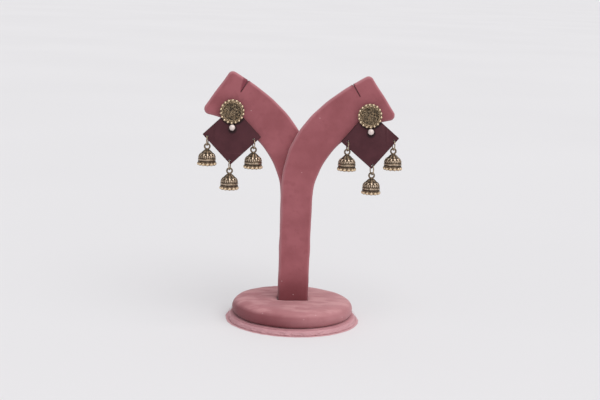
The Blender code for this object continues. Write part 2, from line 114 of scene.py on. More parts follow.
class Finish:
    """A material on a Principled BSDF, given the numbers that are the same all over."""

    def __init__(self, name, constants):
        self.material = bpy.data.materials.new(name)
        self.material.use_nodes = True
        self.tree = self.material.node_tree
        self.shader = self.tree.nodes["Principled BSDF"]
        for socket, value in constants.items():
            self.feed(self.shader.inputs[socket], value)
        self.place = self.node("ShaderNodeTexCoord", {}, {}, "Object")

    def feed(self, socket, value):
        """A link or a plain value for a socket."""
        if isinstance(value, Field):
            self.tree.links.new(value.socket, socket)
        elif isinstance(value, tuple):
            socket.default_value = (*value, 1.0)[: len(socket.default_value)]
        else:
            socket.default_value = value

    def node(self, kind, settings, sockets, output=0):
        """Any node: its type, its settings, then a value or a link for each socket, and the output wanted."""
        node = self.tree.nodes.new(kind)
        for setting, value in settings.items():
            setattr(node, setting, value)
        for socket, value in sockets.items():
            self.feed(node.inputs[socket], value)
        return Field(self, node.outputs[output])

    def along(self, axis):
        """The place's X, Y or Z, by 0, 1 or 2."""
        return self.node("ShaderNodeSeparateXYZ", {}, {0: self.place}, axis)

    def lift(self):
        """How far the surface stands proud, from the mesh."""
        return self.node("ShaderNodeAttribute", {"attribute_name": "lift"}, {}, "Fac")

    def noise(self, scale, detail=2.0, place=None):
        """Cloudy values from about 0.25 to 0.75, with this many clouds to the metre."""
        sockets = {"Vector": place or self.place, "Scale": scale, "Detail": detail}
        return self.node("ShaderNodeTexNoise", {}, sockets)

    def between(self, field, low, high):
        """0 below a low value and 1 above a high one, with a soft step between."""
        sockets = {"Value": field, "From Min": low, "From Max": high}
        return self.node("ShaderNodeMapRange", {"interpolation_type": "SMOOTHSTEP"}, sockets)

    def mix(self, share, first, second):
        """The first colour, turning to the second as the share grows to 1."""
        return self.node("ShaderNodeMix", {"data_type": "RGBA"}, {0: share, 6: first, 7: second}, 2)

    def bump(self, height, depth, strength, under=None):
        """A normal from a height, over an earlier normal if one is given."""
        sockets = {"Height": height, "Distance": depth, "Strength": strength}
        if under:
            sockets["Normal"] = under
        return self.node("ShaderNodeBump", {}, sockets)

    def paint(self, **fields):
        """What changes over the surface, by the name of its socket with _ for a space."""
        for socket, value in fields.items():
            self.feed(self.shader.inputs[socket.replace("_", " ")], value)
        return self.material


def grid_faces(rows, columns, round_rows, round_columns):
    """Quads of a grid: each joins a point, the next one in its row, and the same two of the next row."""
    row = np.arange(rows if round_rows else rows - 1)
    column = np.arange(columns if round_columns else columns - 1)
    row, column = (index.ravel() for index in np.meshgrid(row, column, indexing="ij"))
    below = (row + 1) % rows * columns
    beside = (column + 1) % columns
    row = row * columns
    return np.column_stack([row + column, row + beside, below + beside, below + column])


def shell(points, lift=0.0, round_rows=False, round_columns=True):
    """A part of a mesh from a grid of points, or from many grids alike: its points, quads and lift.

    Lift says how far each point stands proud, from 0 in a hollow to 1 on a ridge, for the material.
    """
    rows, columns = points.shape[-3:-1]
    quads = grid_faces(rows, columns, round_rows, round_columns)
    starts = np.arange(0, points.size // 3, rows * columns)
    faces = (starts[:, None, None] + quads).reshape(-1, 4)
    return points.reshape(-1, 3), faces, np.broadcast_to(lift, points.shape[:-1]).ravel()


def put_piece(name, parts, material):
    """One object from parts, with points that meet merged and faces turned outwards."""
    starts = np.cumsum([0] + [len(points) for points, faces, lift in parts])
    faces = [face for part, start in zip(parts, starts) for face in (part[1] + start).tolist()]
    mesh = bpy.data.meshes.new(name)
    mesh.from_pydata(np.vstack([part[0] for part in parts]).tolist(), [], faces)
    lift = np.hstack([part[2] for part in parts])
    mesh.attributes.new("lift", "FLOAT", "POINT").data.foreach_set("value", lift)
    shape = bmesh.new()
    shape.from_mesh(mesh)
    bmesh.ops.remove_doubles(shape, verts=shape.verts, dist=MERGE_REACH)
    bmesh.ops.recalc_face_normals(shape, faces=shape.faces)
    shape.to_mesh(mesh)
    shape.free()
    mesh.shade_smooth()
    mesh.materials.append(material)
    piece = bpy.data.objects.new(name, mesh)
    bpy.context.scene.collection.objects.link(piece)
    return piece


def put_light(name, way, spread, power, colour):
    """A far soft light, seen from the stand in this direction, and this many degrees across."""
    light_data = bpy.data.lights.new(name, "SUN")
    light_data.angle = math.radians(spread)
    light_data.energy = power
    light_data.color = colour
    light = bpy.data.objects.new(name, light_data)
    away = np.array(way) / np.linalg.norm(way)
    side = np.cross([0.0, 1.0, 0.0], away)
    side /= np.linalg.norm(side)
    turn = np.eye(4)
    turn[:3, :3] = np.column_stack([side, np.cross(away, side), away])
    light.matrix_world = Matrix(turn)
    bpy.context.scene.collection.objects.link(light)


sheet_finish = Finish("pale_sheet", {"Roughness": 0.9, "Specular IOR Level": 0.1})
sheet_tone = sheet_finish.between(sheet_finish.noise(1.5, 2.0), 0.3, 0.7)
sheet_material = sheet_finish.paint(Base_Color=sheet_finish.mix(sheet_tone, *SHEET_TONES))
sheet_marks = np.linspace(-SHEET_REACH, SHEET_REACH, 17)
across, along = np.meshgrid(sheet_marks, sheet_marks)
sheet_points = np.stack([across, along, 0.0 * across - 0.02 * MM], -1)
put_piece("floor", [shell(sheet_points, round_columns=False)], sheet_material)

put_light("key", (0.32, -0.38, 0.87), 66.0, 2.0, (1.0, 0.99, 0.98))
put_light("left_fill", (-0.6, -0.6, 0.5), 90.0, 0.22, (0.97, 0.98, 1.0))
put_light("back_fill", (0.0, 0.75, 0.66), 90.0, 0.28, (1.0, 0.99, 0.98))
room = bpy.data.worlds.new("room")
room.use_nodes = True
room.node_tree.nodes["Background"].inputs["Color"].default_value = (0.97, 0.97, 1.0, 1.0)
room.node_tree.nodes["Background"].inputs["Strength"].default_value = 0.36
bpy.context.scene.world = room
bpy.context.scene.view_settings.view_transform = "Standard"


# The foot disc. A thin round card covered in velvet, which everything else is glued on. The velvet's raw edge
# is left soft, so short threads stand out all round.
DISC_RADIUS = 38.9 * MM
DISC_HEIGHT = 3.4 * MM
DISC_COLUMNS = 720
DISC_ROWS = np.array(
    [
        (0.0, 0.0), (0.96, 0.0), (0.99, 0.03), (1.0, 0.16), (0.996, 0.38), (0.982, 0.66), (0.96, 0.88),
        (0.93, 1.0), (0.6, 1.0), (0.0, 1.0),
    ]
)
THREADS = 2600
THREAD_LENGTH = 0.8 * MM
THREAD_WIDTH = 0.07 * MM
SLIT_PAINTED_SHADE = (0.13, 0.028, 0.035)
LINT = (0.75, 0.5, 0.52)
LINT_SCALE = 420.0


def flowing(table, steps):
    """A smooth curve through the rows of a table, with this many steps from each row to the next.

    It is a Catmull-Rom curve: a cubic between two rows whose slope at each is half the way from the row
    before it to the row after it.
    """
    knots = np.vstack([2 * table[:1] - table[1:2], table, 2 * table[-1:] - table[-2:-1]])
    before, start, end, after = (knots[first : len(knots) - 3 + first] for first in range(4))
    share = np.linspace(0.0, 1.0, steps, endpoint=False)[:, None, None]
    square = 2 * before - 5 * start + 4 * end - after
    cube = 3 * start - before - 3 * end + after
    curve = start + share / 2 * (end - before + share * (square + share * cube))
    return np.vstack([curve.transpose(1, 0, 2).reshape(-1, table.shape[1]), table[-1:]])


def wander(places, length, seed, waves=9):
    """A smooth chance height about 0: plane sine waves of about one length, in seeded directions, summed."""
    draw = np.random.default_rng(seed)
    ways = draw.normal(size=(waves, places.shape[-1]))
    stretch = draw.uniform(0.6, 1.5, (waves, 1))
    ways *= stretch * math.tau / length / np.linalg.norm(ways, axis=1, keepdims=True)
    return np.sin(places @ ways.T + draw.uniform(0.0, math.tau, waves)).sum(-1) / math.sqrt(waves)


def lathe(reach, height, columns, first=0.0):
    """A surface turned about Z: rows of one radius and height each, or one for every column."""
    angle = first + math.tau * np.arange(columns) / columns
    reach, height = (value.reshape(len(value), -1) for value in (reach, height))
    height = np.broadcast_to(height, (len(height), columns))
    return np.stack([reach * np.cos(angle), reach * np.sin(angle), height], -1)


def make_velvet(name, deep, pile, pale, sheen, specks, painted_light_and_shade=None):
    """Velvet: a pile that clouds from deep to its own colour, bruised here and there, painted pale on its
    edges as a sheen highlight with some wear.

    Fine grain and a slow nap tilt the surface, the sheen lights it at its outline, and a few specks of lint
    lie on it. Where the lift is below 0 the pile is in a slit, and is painted dark, as shade. A function of
    painted light and shade, if given, changes the tone from place to place on one piece.
    """
    gloss = {"Roughness": 0.9, "Specular IOR Level": 0.15, "Sheen Weight": sheen, "Sheen Roughness": 0.38}
    finish = Finish(name, {**gloss, "Sheen Tint": (1.0, 0.8, 0.82)})
    lift = finish.lift()
    cloud = finish.between(finish.noise(70.0, 3.0), 0.3, 0.68)
    bruise = finish.between(finish.noise(230.0, 4.0), 0.53, 0.68)
    grain = finish.noise(2600.0, 3.0)
    tone = finish.mix(cloud * 0.75 + 0.25 * grain, deep, pile)
    tone = finish.mix(bruise * 0.45, tone, deep)
    # Painted sheen highlight with some wear: the lift paints the rounded edges pale.
    tone = finish.mix(lift * 0.55, tone, pale)
    # Painted shade: where the lift is below 0, in a slit, the pile is painted dark.
    tone = finish.mix(lift * -0.9, tone, SLIT_PAINTED_SHADE)
    if painted_light_and_shade:
        # Painted light and shade for one piece, if given.
        tone = painted_light_and_shade(finish, tone)
    cell = finish.node("ShaderNodeTexVoronoi", {}, {"Vector": finish.place, "Scale": LINT_SCALE})
    chance = finish.node("ShaderNodeSeparateColor", {}, {0: cell.beside("Color")})
    speck = finish.between(0.16 - cell, 0.0, 0.05) * finish.between(chance, 1.0 - specks, 1.01 - specks)
    tone = finish.mix(speck * 0.6, tone, LINT)
    nap = finish.bump(finish.noise(150.0, 2.0), 0.6 * MM, 0.5)
    return finish.paint(Base_Color=tone, Normal=finish.bump(grain, 0.12 * MM, 0.6, nap))


disc_colours = (0.46, 0.195, 0.222), (0.58, 0.285, 0.312), (0.76, 0.48, 0.51)
disc_velvet = make_velvet("disc_velvet", *disc_colours, 0.5, 0.08)
disc_rows = flowing(DISC_ROWS, 6)
disc_points = lathe(DISC_RADIUS * disc_rows[:, 0], DISC_HEIGHT * disc_rows[:, 1], DISC_COLUMNS)
outermost = np.clip((disc_rows[:, 0] - 0.9) / 0.1, 0.0, 1.0)[:, None] ** 2
ragged = wander(disc_points, 7 * MM, 3) * 0.16 * MM + wander(disc_points, 1.6 * MM, 4) * 0.12 * MM
disc_points[..., :2] *= 1.0 + (outermost * ragged / DISC_RADIUS)[..., None]
outermost_above = outermost * (disc_rows[:, 1:] > 0.5)
disc_points[..., 2] += outermost_above * wander(disc_points, 5 * MM, 5) * 0.14 * MM

draw = np.random.default_rng(11)
thread_angle = draw.uniform(0.0, math.tau, THREADS)
thread_level = draw.uniform(0.02, 0.9, THREADS)
thread_root = np.stack([np.cos(thread_angle), np.sin(thread_angle), 0.0 * thread_angle], -1)
thread_root *= DISC_RADIUS - 0.25 * MM
thread_root[:, 2] = thread_level * DISC_HEIGHT
thread_way = thread_root / DISC_RADIUS + draw.normal(0.0, 0.55, (THREADS, 3))
thread_way[:, 2] *= 0.6
thread_way *= (draw.uniform(0.35, 1.0, THREADS) * THREAD_LENGTH / np.linalg.norm(thread_way, axis=1))[:, None]
thread_side = np.cross(thread_way, [0.0, 0.0, 1.0])
thread_side *= THREAD_WIDTH / 2 / np.linalg.norm(thread_side, axis=1, keepdims=True)
thread_over = np.cross(thread_side, thread_way)
thread_over *= THREAD_WIDTH / 2 / np.linalg.norm(thread_over, axis=1, keepdims=True)
thread_share = np.array([0.0, 0.0, 0.55, 1.0])[:, None, None]
thread_girth = np.array([0.0, 1.0, 0.7, 0.0])[:, None, None]
thread_turn = math.tau * np.arange(3)[:, None] / 3
root, way, side, over = (each[:, None, None] for each in (thread_root, thread_way, thread_side, thread_over))
threads = root + thread_share * way + thread_girth * (np.cos(thread_turn) * side + np.sin(thread_turn) * over)
threads[..., 2] = np.maximum(threads[..., 2] - 0.25 * MM * thread_share[..., 0] ** 2, 0.03 * MM)
# The outer rows and the threads carry lift, which the velvet paints pale: a painted sheen highlight with some
# wear.
disc = put_piece("foot_disc", [shell(disc_points, outermost), shell(threads, 1.0)], disc_velvet)
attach(disc, "root")
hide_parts("base_disc")


# The boards. Two stiff boards, mirror images, are wrapped in velvet with soft edges, and stand back to back
# with their feet in the pad. They come before the pad here, because it closes round them.
BOARD_THICKNESS = 5.0 * MM
BOARD_GAP = 0.3 * MM
EDGE_ROUND = 1.5 * MM
POST_WIDTH = 18.5 * MM
POST_FOOT_WIDTH = 17.9 * MM
BOARD_FOOT = DISC_HEIGHT + BOARD_GAP
OUTER_BEND_START = 82.1 * MM
OUTER_BEND_RADIUS = 63.3 * MM
OUTER_BEND_TURN = math.radians(45)
OUTER_TIP_RADIUS = 120 * MM
OUTER_TIP_TURN = math.radians(18.7)
INNER_BEND_START = 73.0 * MM
INNER_BEND_RADIUS = 49.2 * MM
INNER_BEND_TURN = math.radians(64)
INNER_TIP_RADIUS = 83 * MM
END_CUT_LEAN = math.radians(34.6)
TOP_CORNER_RADIUS = 3.0 * MM
LOWER_CORNER_RADIUS = 3.3 * MM
SLIT_FROM_END = 11.7 * MM
SLIT_DEPTH = 8.1 * MM
SLIT_WIDTH = 0.18 * MM
SLIT_MOUTH_ROUND = 0.8 * MM
SLIT_EDGE_ROUND = 0.5 * MM
WEDGE_SPREAD = 0.36
SLIT_WEDGE_SHADE = (0.2, 0.042, 0.06)
DUST_AND_SHADE_PILE = (0.17, 0.042, 0.05)
EDGE_SWAY = 0.1 * MM
EAR_HOLE_RADIUS = 0.6 * MM
POST_TURN = {"left": math.radians(70.5), "right": math.radians(71.9)}
POST_FROM_INNER_EDGE = 6.65 * MM
OUTLINE_STEP = 0.55 * MM
CORNER_STEP = 0.3 * MM
SLIT_STEP = 0.15 * MM
SLIT_WALL_STEP = 0.4 * MM
SIDES = {"left": -1, "right": 1}
FRONT_FACE = {"left": BOARD_GAP / 2, "right": -BOARD_GAP / 2 - BOARD_THICKNESS}


def arc(centre, radius, start, end, step=OUTLINE_STEP):
    """Points of an arc from one angle to another, about a step apart."""
    count = max(3, math.ceil(abs(end - start) * radius / step))
    angle = np.linspace(start, end, count + 1)
    return np.array(centre) + radius * np.column_stack([np.cos(angle), np.sin(angle)])


def straight(start, end, step=OUTLINE_STEP):
    """Points of a straight line, about a step apart."""
    start, end = np.array([start, end])
    count = max(1, math.ceil(np.linalg.norm(end - start) / step))
    return start + (end - start) * np.linspace(0.0, 1.0, count + 1)[:, None]


def heading(centre, point):
    """The angle at which a point is seen from a centre."""
    return math.atan2(point[1] - centre[1], point[0] - centre[0])


def far_crossing(centre, radius, start, way):
    """Where a line from a start leaves a circle."""
    along = (start - centre) @ way
    return start + way * (math.sqrt(along**2 - (start - centre) @ (start - centre) + radius**2) - along)


lower_centre = np.array([OUTER_BEND_RADIUS - POST_WIDTH / 2, OUTER_BEND_START])
upper_centre = lower_centre + (OUTER_TIP_RADIUS - OUTER_BEND_RADIUS) * np.array(
    [math.cos(OUTER_BEND_TURN), -math.sin(OUTER_BEND_TURN)]
)
inner_centre = np.array([POST_WIDTH / 2 + INNER_BEND_RADIUS, INNER_BEND_START])
inner_tip_centre = inner_centre + (INNER_TIP_RADIUS - INNER_BEND_RADIUS) * np.array(
    [math.cos(INNER_BEND_TURN), -math.sin(INNER_BEND_TURN)]
)
end_cut = np.array([math.sin(END_CUT_LEAN), -math.cos(END_CUT_LEAN)])
end_inward = np.array([end_cut[1], -end_cut[0]])
end_turn = OUTER_BEND_TURN + OUTER_TIP_TURN
end_corner = upper_centre + OUTER_TIP_RADIUS * np.array([-math.cos(end_turn), math.sin(end_turn)])
slit_turn = end_turn - SLIT_FROM_END / OUTER_TIP_RADIUS
slit_outward = np.array([-math.cos(slit_turn), math.sin(slit_turn)])
slit_onward = np.array([slit_outward[1], -slit_outward[0]])


def post_spot(side_name):
    """Where an ear post goes through its arm, in X and Z on a right-hand board: off the inner arc."""
    turn = POST_TURN[side_name]
    reach = INNER_BEND_RADIUS + POST_FROM_INNER_EDGE
    return inner_centre + reach * np.array([-math.cos(turn), math.sin(turn)])


def slit_outline():
    """Half its mouth's turn, and the ear-wire slit's outline: up one wall, down the other, mouth rounded."""
    mouth = upper_centre + OUTER_TIP_RADIUS * slit_outward
    half = SLIT_WIDTH / 2
    shoulder = half + SLIT_MOUTH_ROUND
    path = np.vstack(
        [
            arc((-shoulder, -SLIT_MOUTH_ROUND), SLIT_MOUTH_ROUND, math.pi / 2, 0.0, SLIT_STEP),
            straight((-half, -SLIT_MOUTH_ROUND), (-half, half - SLIT_DEPTH), SLIT_WALL_STEP)[1:],
            arc((0.0, half - SLIT_DEPTH), half, math.pi, math.tau, SLIT_STEP)[1:],
            straight((half, half - SLIT_DEPTH), (half, -SLIT_MOUTH_ROUND), SLIT_WALL_STEP)[1:],
            arc((shoulder, -SLIT_MOUTH_ROUND), SLIT_MOUTH_ROUND, math.pi, math.pi / 2, SLIT_STEP)[1:],
        ]
    )
    return shoulder / OUTER_TIP_RADIUS, mouth + path[:, :1] * slit_onward + path[:, 1:] * slit_outward


def board_outline():
    """A right-hand board's outline in X and Z, and a 1 for each point of its slit."""
    top_start = end_corner + end_inward * TOP_CORNER_RADIUS
    top = far_crossing(upper_centre, OUTER_TIP_RADIUS - TOP_CORNER_RADIUS, top_start, -end_cut)
    low_start = end_corner + end_inward * LOWER_CORNER_RADIUS
    low_start += end_cut * (end_cut @ (inner_tip_centre - low_start))
    low = far_crossing(inner_tip_centre, INNER_TIP_RADIUS + LOWER_CORNER_RADIUS, low_start, -end_cut)
    cut_heading = math.atan2(-end_inward[1], -end_inward[0])
    low_heading = heading(inner_tip_centre, low)
    inner_change = math.pi - INNER_BEND_TURN
    slit_reach, slit = slit_outline()
    foot = POST_FOOT_WIDTH / 2
    runs = [
        straight((-foot, BOARD_FOOT), lower_centre - [OUTER_BEND_RADIUS, 0.0]),
        arc(lower_centre, OUTER_BEND_RADIUS, math.pi, math.pi - OUTER_BEND_TURN),
        arc(upper_centre, OUTER_TIP_RADIUS, math.pi - OUTER_BEND_TURN, math.pi - slit_turn + slit_reach),
        slit,
        arc(upper_centre, OUTER_TIP_RADIUS, math.pi - slit_turn - slit_reach, heading(upper_centre, top)),
        arc(top, TOP_CORNER_RADIUS, heading(upper_centre, top), cut_heading, CORNER_STEP),
        straight(top - end_inward * TOP_CORNER_RADIUS, low - end_inward * LOWER_CORNER_RADIUS),
        arc(low, LOWER_CORNER_RADIUS, cut_heading, low_heading - math.pi, CORNER_STEP),
        arc(inner_tip_centre, INNER_TIP_RADIUS, low_heading, inner_change),
        arc(inner_centre, INNER_BEND_RADIUS, inner_change, math.pi),
        straight(inner_centre - [INNER_BEND_RADIUS, 0.0], (foot, BOARD_FOOT)),
        straight((foot, BOARD_FOOT), (-foot, BOARD_FOOT)),
    ]
    in_slit = np.hstack([np.full(len(run) - 1, float(run is slit)) for run in runs])
    return np.vstack([run[:-1] for run in runs]), in_slit


def into_board(loop, hole):
    """For each point of a closed outline, the way into the board: square to its neighbours' line."""
    following = np.roll(loop, -1, 0)
    along = following - np.roll(loop, 1, 0)
    along /= np.linalg.norm(along, axis=1, keepdims=True)
    turning = np.sign((loop[:, 0] * following[:, 1] - loop[:, 1] * following[:, 0]).sum())
    return np.column_stack([-along[:, 1], along[:, 0]]) * (-turning if hole else turning)


def flat_between(loops):
    """Triangles that fill a flat between closed outlines: those of a Delaunay mesh whose middle is inside."""
    points = np.vstack(loops) / MM
    starts = np.cumsum([0] + [len(loop) for loop in loops])
    rings = [start + np.arange(len(loop)) for loop, start in zip(loops, starts)]
    edges = np.vstack([np.column_stack([ring, np.roll(ring, -1)]) for ring in rings])
    found, _, triangles, *_ = delaunay_2d_cdt(points.tolist(), edges.tolist(), [], 0, 1e-6)
    found = np.array(found)
    triangles = np.array(triangles)
    middle = found[triangles].mean(1)[:, None]
    start, end = points[edges[:, 0]], points[edges[:, 1]]
    spans = (start[:, 1] > middle[..., 1]) != (end[:, 1] > middle[..., 1])
    rise = np.where(start[:, 1] == end[:, 1], 1.0, end[:, 1] - start[:, 1])
    crossing = start[:, 0] + (end[:, 0] - start[:, 0]) * (middle[..., 1] - start[:, 1]) / rise
    inside = (spans & (middle[..., 0] < crossing)).sum(1) % 2 == 1
    return found * MM, triangles[inside]


def slab(outline, softness, holes, hole_softness, thickness, turns=8, rim=0.3 * MM):
    """A flat body with rounded edges, as points (across, up, depth from its front).

    Every outline carries the same edge: a flat rim, a quarter turn of its own radius, the wall, and the same
    again at the back. Triangles fill the flats.
    """
    quarter = np.linspace(0.0, math.pi / 2, turns)[:, None]
    loops = [(outline, softness, False)] + [(hole, hole_softness, True) for hole in holes]
    parts, flats = [], []
    for loop, soft, is_hole in loops:
        soft = np.broadcast_to(soft, len(loop))
        inset = np.vstack([soft + rim, soft * (1.0 - np.sin(quarter))])
        depth = np.vstack([0.0 * soft, soft * (1.0 - np.cos(quarter))])
        inset = np.vstack([inset, inset[::-1]])
        depth = np.vstack([depth, thickness - depth[::-1]])
        place = loop + into_board(loop, is_hole) * inset[..., None]
        lift = np.hstack([0.0, np.sin(quarter[:, 0]), np.sin(quarter[::-1, 0]), 0.0])
        parts.append(shell(np.dstack([place, depth]), lift[:, None]))
        flats.append(place[0])
    found, triangles = flat_between(flats)
    for depth in (0.0, thickness):
        parts.append((np.column_stack([found, np.full(len(found), depth)]), triangles, np.zeros(len(found))))
    return parts


outline, in_slit = board_outline()
blur = np.hanning(9) / np.hanning(9).sum()
in_slit = np.convolve(np.hstack([in_slit[-4:], in_slit, in_slit[:4]]), blur, "valid")
edge_radius = EDGE_ROUND + (SLIT_EDGE_ROUND - EDGE_ROUND) * in_slit
sway = wander(outline, 16 * MM, 21) * EDGE_SWAY * (1.0 - in_slit)
outline += into_board(outline, False) * sway[:, None]


def board_parts(side_name):
    """The parts of one board in the row frame. The slit's lift is turned to minus, so the velvet paints shade
    in it.
    """
    ear_hole = arc(post_spot(side_name), EAR_HOLE_RADIUS, 0.0, math.tau, CORNER_STEP)[:-1]
    parts = []
    edge, *rest = slab(outline, edge_radius, [ear_hole], 0.1 * MM, BOARD_THICKNESS)
    # Lift below 0 in the slit, where the velvet paints a dark shade.
    edge = (edge[0], edge[1], edge[2] * np.tile(1.0 - 2.0 * in_slit, len(edge[2]) // len(in_slit)))
    for points, faces, lift in (edge, *rest):
        across, up, depth = points.T
        place = np.column_stack([SIDES[side_name] * across, FRONT_FACE[side_name] + depth, up])
        parts.append((place, faces, lift))
    return parts


def foot_shade(finish, tone):
    """Darker towards the foot of the post, from 36 mm up down to the pad: painted shade by the pad, and dust.
    """
    return finish.mix(0.72 - 0.72 * finish.between(finish.along(2), 13 * MM, 36 * MM), tone, DUST_AND_SHADE_PILE)


def slit_shade(finish, tone):
    """The foot's shade, and a painted dark wedge of shade on the outer side of the left slit.

    The wedge is where the way past the slit is less than a share of the rise from the slit's end.
    """
    slit_end = upper_centre + (OUTER_TIP_RADIUS - SLIT_DEPTH) * slit_outward
    ways = [(float(way[0]), float(way[1]), float(slit_end @ way)) for way in (slit_onward, slit_outward)]
    past, rise = (finish.along(2) * z - finish.along(0) * x - start for x, z, start in ways)
    inside = 1.0 - finish.between(past - WEDGE_SPREAD * rise, -0.2 * MM, 1.2 * MM)
    inside = inside * finish.between(past, 0.0, 0.1 * MM) * finish.between(rise, 0.0, 0.8 * MM)
    # Painted shade: the dark wedge beside the left slit.
    return finish.mix(0.75 * inside, foot_shade(finish, tone), SLIT_WEDGE_SHADE)


board_colours = (0.32, 0.098, 0.112), (0.415, 0.138, 0.158), (0.6, 0.29, 0.32)
for side_name, shade in {"left": slit_shade, "right": foot_shade}.items():
    board_velvet = make_velvet(f"{side_name}_board_velvet", *board_colours, 0.35, 0.06, shade)
    board = put_piece(f"{side_name}_velvet_board", board_parts(side_name), board_velvet)
    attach(board, "root")
    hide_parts(f"{side_name}_arm_board")


# The pad. A thick round of padding with velvet drawn over it and gathered under its edge. It is glued to the
# disc, and it dips where it closes round the feet of the boards.
PAD_RADIUS = 36.3 * MM
PAD_BOTTOM = BOARD_FOOT
PAD_HEIGHT = 9.4 * MM
PAD_COLUMNS = 360
SLOT_CLEARANCE = 0.12 * MM
SLOT_CORNER = 7
PAD_DIP = 0.5 * MM
PAD_DIP_REACH = 2.4 * MM

# Shares of the way from the slot to the rim and of the pad's height: up the slot, over the top and below
PAD_ROWS = np.array(
    [
        (0.0, 0.0), (0.0, 0.5), (0.0, 0.88), (0.02, 0.97), (0.08, 1.0), (0.25, 1.0), (0.45, 1.0),
        (0.65, 0.99), (0.8, 0.945), (0.91, 0.84), (0.97, 0.68), (1.0, 0.45), (0.99, 0.2), (0.95, 0.04),
        (0.9, 0.0), (0.5, 0.0), (0.0, 0.0),
    ]
)


def pad_surface():
    """The pad as a ring: each row is part of the way from the slot's outline to the rim's circle.

    The slot is a squared oval, |x/a|^n + |y/b|^n = 1. The top dips towards the slot as e to the minus
    distance, and wanders a little all over.
    """
    rows = flowing(PAD_ROWS, 7)[:-1]
    angle = math.tau * np.arange(PAD_COLUMNS) / PAD_COLUMNS
    way = np.column_stack([np.cos(angle), np.sin(angle)])
    share = (PAD_HEIGHT - BOARD_GAP) / (INNER_BEND_START - BOARD_FOOT)
    half_width = (POST_FOOT_WIDTH + (POST_WIDTH - POST_FOOT_WIDTH) * share) / 2 + SLOT_CLEARANCE
    half_depth = BOARD_THICKNESS + BOARD_GAP / 2 + SLOT_CLEARANCE
    slot = (np.abs(way / [half_width, half_depth]) ** SLOT_CORNER).sum(1) ** (-1 / SLOT_CORNER)
    reach = slot + (PAD_RADIUS - slot) * rows[:, :1]
    height = np.broadcast_to(PAD_BOTTOM + PAD_HEIGHT * rows[:, 1:], reach.shape).copy()
    upper = np.clip((rows[:, 1:] - 0.25) / 0.6, 0.0, 1.0)
    height -= upper * PAD_DIP * np.exp((slot - reach) / PAD_DIP_REACH)
    points = np.stack([reach * way[:, 0], reach * way[:, 1], height], -1)
    points[..., 2] += upper * (wander(points, 26 * MM, 31) * 0.16 + wander(points, 9 * MM, 32) * 0.05) * MM
    points[..., :2] *= 1.0 + (rows[:, :1] ** 6 * wander(points, 22 * MM, 33) * 0.006)[..., None]
    return points


def pad_painted_light(finish, tone):
    """Painted light and shade: the top and the right are painted pale, as lit from above and the right, and
    the left front is painted deep, as in shade.

    Long soft streaks of crushed pile lie on the top, in its painted light.
    """
    top = finish.between(finish.along(2), 9.5 * MM, 12.5 * MM)
    light = finish.between(finish.along(0), -22 * MM, 38 * MM)
    stretched = finish.node("ShaderNodeMapping", {}, {"Vector": finish.place, "Scale": (0.35, 1.0, 1.0)})
    streak = finish.between(finish.noise(170.0, 3.0, stretched), 0.42, 0.62)
    # Painted shade: the left front, low on the pad, is painted deep.
    tone = finish.mix(0.7 - 0.7 * top - 0.75 * light, tone, (0.2, 0.055, 0.065))
    # Painted light: the top and the right are painted pale, streaked by the crushed pile.
    return finish.mix(top * (0.16 + 0.4 * streak) + 0.32 * light, tone, (0.66, 0.35, 0.36))


pad_colours = (0.34, 0.12, 0.135), (0.44, 0.18, 0.2), (0.5, 0.22, 0.25)
pad_velvet = make_velvet("pad_velvet", *pad_colours, 0.4, 0.05, pad_painted_light)
pad = put_piece("velvet_pad", [shell(pad_surface(), 0.0, round_rows=True)], pad_velvet)
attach(pad, "root")
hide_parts("base_pad")


# The plates. Each is a thin square of board cut by a laser and painted a matt maroon, hung on its corner,
# with four small holes. The cut has singed its edges dark.
EARRING_TURN = {"left": math.radians(-1.2), "right": math.radians(5.1)}
PLATE_SIDE = 24.4 * MM
PLATE_THICKNESS = 2.0 * MM
PLATE_BACK = 0.3 * MM
PLATE_FRONT = PLATE_BACK + PLATE_THICKNESS
PLATE_BELOW_POST = 14.4 * MM
PLATE_ASIDE = {"left": 0.5 * MM, "right": -0.4 * MM}
PLATE_CORNER = 0.4 * MM
SIDE_HOLE_INSET = 3.4 * MM
BOTTOM_HOLE_INSET = 2.8 * MM
PLATE_HALF_DIAGONAL = PLATE_SIDE / math.sqrt(2)
HOLE_DROP = 0.35 * MM

# Middles of the painted contact shadows under the stud and the pearl, in millimetres in the earring's own
# frame
STUD_SHADOW_MIDDLE = (0.5, -0.6, 2.3)
CONTACT_SHADOW_TONE = (0.012, 0.006, 0.007)
PEARL_SHADOW_MIDDLE = {"left": (0.7, -10.5, 2.3), "right": (0.3, -10.5, 2.3)}

# Each hole's radius, and how far right and above its place it was drilled, in millimetres
PLATE_HOLES = {
    ("left", "outer"): (0.58, -0.5, -0.5),
    ("left", "inner"): (0.62, -0.8, -1.2),
    ("left", "bottom"): (0.62, -0.5, 0.0),
    ("right", "outer"): (0.57, 0.3, -0.9),
    ("right", "inner"): (0.57, 0.6, 0.3),
    ("right", "bottom"): (0.68, 0.6, -0.3),
}


def on_earring(side_name, parts):
    """Parts moved from an earring's own frame to the row frame.

    In its own frame X is across, Y up and Z towards the viewer, from the ear post at the board's face. It is
    turned on the post, then stood up.
    """
    turn = EARRING_TURN[side_name]
    placed = []
    for points, faces, lift in parts:
        across, up, out = points.T
        x = SIDES[side_name] * post_spot(side_name)[0] + across * math.cos(turn) - up * math.sin(turn)
        z = post_spot(side_name)[1] + across * math.sin(turn) + up * math.cos(turn)
        placed.append((np.column_stack([x, FRONT_FACE[side_name] - out, z]), faces, lift))
    return placed


